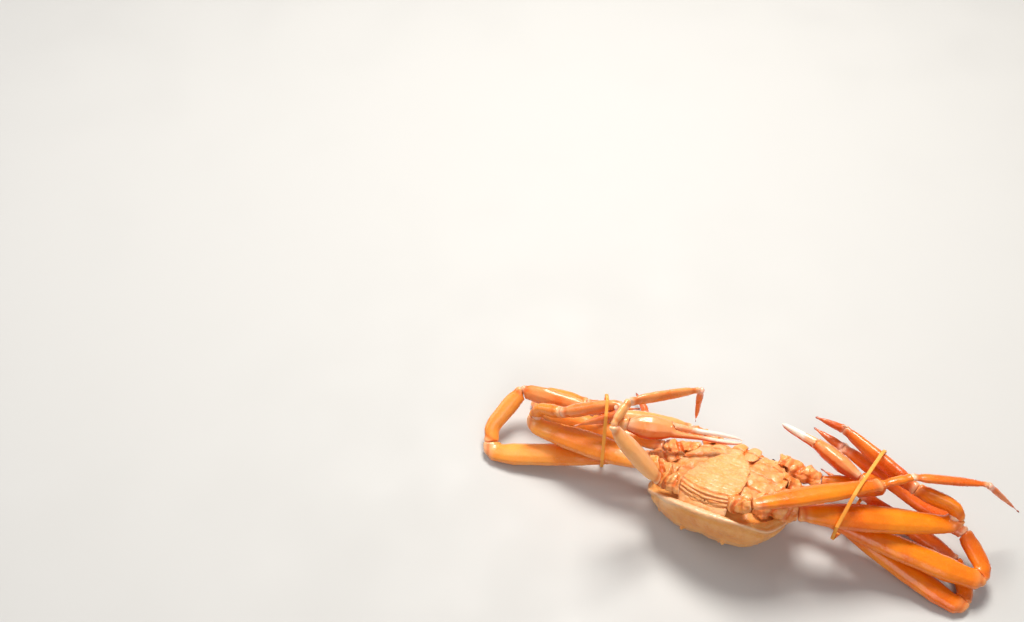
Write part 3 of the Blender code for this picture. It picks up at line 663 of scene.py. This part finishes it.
# %% Sternum
SEAM_PLACES = (26.0, 7.5, -12.0, -29.5)
sternum = skin("thorax", middle_of("abdomen"), voxel=0.5, rounds=8)
u, v, w = body_points(sternum).T
seams = sum(bell(v - place + 0.10 * np.abs(u) - 1.5, 0.8) for place in SEAM_PLACES)
swell = sum(bell(v - place - 9.0, 5.0) for place in SEAM_PLACES)
flap_furrow = bell(np.abs(u) - 8.0, 1.2)
outward = step(9.0, 20.0, np.abs(u))
facing_out = step(-6.0, -2.0, w)
push(sternum, facing_out * (outward * (0.9 * swell - 1.3 * seams) - 0.8 * flap_furrow))
before = points_of(sternum)
roughen(sternum, knob_cells, -2.2, middle=0.35)
roughen(sternum, wrinkles, 0.4)
# Seams and clefts get painted shade.
mark(sternum, "shade_and_bead", np.clip(0.75 * seams * outward + 0.5 * sunk(before, sternum), 0.0, 0.8))
dress(sternum, "thorax", belly_look)
print("sternum faces:", len(sternum.data.polygons))

# %% [markdown]
# ## The abdomen
#
# The tail flap is folded up over the sternum. Its first rings are crowded into close folds at the
# hind edge, where it bends down into the carapace, and the later ones show only as faint lines.
# The folds could be stacked plates, but they are soft and run into one another, so they are
# pressed into one skin. They are placed by the way along the flap, which follows the bend.

# %% Abdomen
FOLD_PLACES = (-49.0, -45.5, -42.0, -38.5)
RING_PLACES = (-33.0, -26.0, -17.5, -8.5, 1.0, 9.0)
flap = skin("abdomen", middle_of("carapace"), voxel=0.45, rounds=8)
u, v, w = body_points(flap).T
down_the_bend = 0.9 * np.minimum(w - 2.0, 0.0)
bent = v + down_the_bend - 0.012 * (u - 2.0) ** 2
folds = sum(bell(bent - place, 0.75) for place in FOLD_PLACES)
rings = sum(bell(bent - place, 0.6) for place in RING_PLACES)
ridge = bell(u, 3.0) + 0.6 * bell(np.abs(u) - 11.0, 2.5)
push(flap, 0.5 * ridge - 1.1 * folds - 0.35 * rings)
roughen(flap, soft_swell, 1.6)
roughen(flap, wrinkles, 0.45)
# Folds and rings get painted shade.
mark(flap, "shade_and_bead", np.clip(0.6 * folds + 0.15 * rings, 0.0, 0.8))
dress(flap, "abdomen", belly_look)
print("abdomen faces:", len(flap.data.polygons))

# %% [markdown]
# ## The mouthparts
#
# A pair of flat jaw legs closes the mouth like two doors. Each is jointed across its middle. The
# frame has them as one solid with two lobes, so the line between the doors and the joints are
# pressed into its skin as narrow furrows.

# %% Mouthparts
JOINT_PLACE = 28.0
mouth = skin("mouthparts", middle_of("thorax"), voxel=0.35, rounds=4)
u, v, w = body_points(mouth).T
door_edges = bell(np.abs(u) - 5.5, 2.0)
push(mouth, 0.4 * door_edges - 1.2 * bell(u, 0.7) - 0.6 * bell(v - JOINT_PLACE, 0.7))
roughen(mouth, wrinkles, 0.3)
# The furrows get painted shade.
mark(mouth, "shade_and_bead", np.clip(bell(u, 0.9) + bell(v - JOINT_PLACE, 0.8), 0.0, 0.9))
dress(mouth, "mouthparts", belly_look)
print("mouthpart faces:", len(mouth.data.polygons))

# %% [markdown]
# ## The carapace
#
# The animal lies on its back shell. The rim is a pale raised bead round the belly, and the wall
# and dome are covered with fine granules between larger tubercles. The bead could be a tube swept
# along the edge, but it has no seam in life, so a formula raises it from the skin by its height
# over the rim's level. The tubercles are in the frame, and the granules come from a cell pattern.

# %% Carapace
RIM_LEVEL = -17.5
HIND_RIM_LIFT = 8.0
granules = pattern("granules", "VORONOI", 2.4, distance_metric="DISTANCE")
back = skin("carapace", middle_of("thorax"), voxel=0.65, rounds=5)
u, v, w = body_points(back).T
over_rim = w - (RIM_LEVEL + HIND_RIM_LIFT * step(-30.0, -50.0, v))
outer = step(26.0, 40.0, np.hypot(u, v + 3.0))
bead = bell(over_rim - 1.2, 1.3) * outer
groove = bell(over_rim + 2.8, 1.3) * outer
ledge = step(1.8, 3.4, over_rim) * outer
push(back, bead - groove - 0.7 * ledge)
roughen(back, soft_swell, 1.6)
roughen(back, granules, -0.5, middle=0.5)
mark(back, "shade_and_bead", np.clip(bead - ledge, 0.0, 1.0))
dress(back, "carapace", back_look)
print("carapace faces:", len(back.data.polygons))

# %% [markdown]
# ## The antennae
#
# The feelers are thin and ringed. Each ring could be a short cylinder, but at this size a sine
# wave along the skin gives the same beads with no joints.

# %% Antennae
RING_HEIGHT = 0.12
RING_PHASE = 110.0  # radians from root to tip, which is 17.5 rings
for side in ("right", "left"):
    made = skin("antenna_" + side, middle_of("carapace"), voxel=0.3, rounds=2)
    along = along_of(made, middle_of("carapace"))
    push(made, RING_HEIGHT * np.sin(along * RING_PHASE))
    dress(made, "antenna_" + side, right_far_look)
    print("antenna_" + side, "faces:", len(made.data.polygons))

# %% [markdown]
# ## The eyes
#
# The eyes sit on short stalks under the rostrum. The stalk is shell, and the cornea is a dark,
# smooth, strongly shining cap. Cap and stalk grow as one piece, so they share one skin, and the
# faces beyond the stalk get the cornea's finish.

# %% Eyes
STALK_SHARE = 0.42
eye_look, tree, shader = new_material("dark_cornea")
facets = add(tree, "ShaderNodeTexVoronoi", Scale=3000.0,
             Vector=add(tree, "ShaderNodeTexCoord").outputs["Object"])
tree.links.new(mix_colour(tree, ramp(tree, facets.outputs["Distance"], 0.0, 0.7),
                          (0.035, 0.018, 0.012), (0.008, 0.005, 0.005)),
               shader.inputs["Base Color"])
shader.inputs["Roughness"].default_value = 0.12
shader.inputs["Coat Weight"].default_value = 0.6
for side in ("right", "left"):
    made = skin("eye_" + side, middle_of("carapace"), voxel=0.3, rounds=4)
    made.data.materials.append(eye_look)
    made.data.materials.append(right_far_look)
    along = along_of(made, middle_of("carapace"))
    bpy.ops.object.shade_smooth()
    for face in made.data.polygons:
        face.material_index = 1 if along[face.vertices[0]] < STALK_SHARE else 0
    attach(made, "root")
    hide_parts("eye_" + side)
    print("eye_" + side, "faces:", len(made.data.polygons))

# %% [markdown]
# ## The joint membranes
#
# Between two articles the shell is open, and a soft pale membrane closes the gap. The skins could
# be joined there, but shell and membrane are different stuff, so each joint gets its own piece. The
# facing ends of two neighbouring solids are found in the frame, and a short ringed sleeve is set in
# each gap, as wide as they are.

# %% Joint membranes
JOINT_REACH = 0.45
SLEEVE_LENGTH = 4.6
SLEEVE_FIT = 0.97
RING_EDGE = 0.16
END_SHARE = 0.72


def facing_ring(first, second):
    """Points of one node that face another across the joint's gap."""
    target = KDTree(len(second.data.vertices))
    for vert in second.data.vertices:
        target.insert(vert.co, vert.index)
    target.balance()
    return [vert.co.copy() for vert in first.data.vertices
            if target.find(vert.co)[2] < JOINT_REACH * MM]


def sleeve(name, near_node, far_node):
    """A ringed sleeve of membrane in the joint between two nodes."""
    near = facing_ring(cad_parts[near_node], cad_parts[far_node])
    far = facing_ring(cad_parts[far_node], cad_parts[near_node])
    if len(near) < 6 or len(far) < 6:
        return None
    centre = (sum(near, Vector()) / len(near) + sum(far, Vector()) / len(far)) / 2
    spread = np.array([point - centre for point in near + far])
    _, sizes, axes = np.linalg.svd(spread, full_matrices=False)
    wide, deep = sizes[:2] * math.sqrt(2.0 / len(spread))
    turn = Matrix((axes[0], axes[1], axes[2])).transposed().to_4x4()
    bpy.ops.object.select_all(action="DESELECT")
    bpy.ops.mesh.primitive_cylinder_add(vertices=28, radius=1.0, depth=1.0)
    made = bpy.context.object
    made.name = name
    bpy.ops.object.mode_set(mode="EDIT")
    for height in (RING_EDGE, -RING_EDGE):
        bpy.ops.mesh.select_all(action="SELECT")
        bpy.ops.mesh.bisect(plane_co=(0, 0, height), plane_no=(0, 0, 1))
    bpy.ops.object.mode_set(mode="OBJECT")
    for vert in made.data.vertices:
        share = 1.0 if abs(vert.co.z) < 0.3 else END_SHARE
        vert.co.x *= share
        vert.co.y *= share
    size = (wide * SLEEVE_FIT, deep * SLEEVE_FIT, SLEEVE_LENGTH * MM, 1.0)
    made.data.transform(Matrix.Diagonal(size))
    made.data.transform(Matrix.Translation(centre) @ turn)
    modify(made, "SUBSURF", levels=2, render_levels=2)
    bpy.ops.object.mode_set(mode="EDIT")
    bpy.ops.mesh.select_all(action="SELECT")
    bpy.ops.mesh.normals_make_consistent(inside=False)
    bpy.ops.object.mode_set(mode="OBJECT")
    roughen(made, wrinkles, 0.3)
    mark(made, "along", np.full(len(made.data.vertices), 0.5))
    mark(made, "shade_and_bead", np.zeros(len(made.data.vertices)))
    made.data.materials.append(membrane_look)
    bpy.ops.object.shade_smooth()
    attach(made, "root")
    return made


sleeves = 0
for side in ("right", "left"):
    for number in (2, 3, 4, 5):
        name = f"{side}_leg_{number}_"
        chain = ("base", "merus", "carpus", "propodus", "dactyl")
        for near, far in zip(chain, chain[1:]):
            sleeves += sleeve(f"{name}{far}_sleeve", name + near, name + far) is not None
    name = f"{side}_claw_"
    for near, far in (("base", "merus"), ("merus", "carpus"), ("carpus", "palm")):
        sleeves += sleeve(f"{name}{far}_sleeve", name + near, name + far) is not None
print("membrane sleeves:", sleeves)

# %% [markdown]
# ## The rubber bands
#
# A flat rubber strip is stretched round each bundle. A curve with a width would do, but the frame
# has the loop already, pulled tight round the legs, so its skin is only rounded off. Rubber is
# matte and a little dusty, unlike shell, so it gets its own finish with a fine nap.

# %% Bands
band_look, tree, shader = new_material("tan_rubber")
spot = add(tree, "ShaderNodeTexCoord").outputs["Object"]
dust = add(tree, "ShaderNodeTexNoise", Vector=spot, Scale=260.0, Detail=4.0)
shade = add(tree, "ShaderNodeTexNoise", Vector=spot, Scale=40.0)
rubber = mix_colour(tree, ramp(tree, shade.outputs["Fac"], 0.3, 0.7), (0.84, 0.30, 0.02),
                    (0.92, 0.40, 0.06))
tree.links.new(mix_colour(tree, ramp(tree, dust.outputs["Fac"], 0.5, 0.8, 0.4), rubber,
                          (0.93, 0.50, 0.20)), shader.inputs["Base Color"])
tree.links.new(ramp(tree, dust.outputs["Fac"], -0.6, 1.2), shader.inputs["Roughness"])
nap = add(tree, "ShaderNodeBump", Strength=0.25, Distance=0.2 * MM, Height=dust.outputs["Fac"])
tree.links.new(nap.outputs["Normal"], shader.inputs["Normal"])
shader.inputs["Subsurface Weight"].default_value = 0.15
shader.inputs["Subsurface Scale"].default_value = 1.0 * MM
for side in ("right", "left"):
    node = "band_" + side
    made = skin(node, middle_of("carapace"), voxel=0.3, rounds=5)
    dress(made, node, band_look)
    print(node, "faces:", len(made.data.polygons))

# %% [markdown]
# ## The end of the script

# %% Finish
print("end of the script")
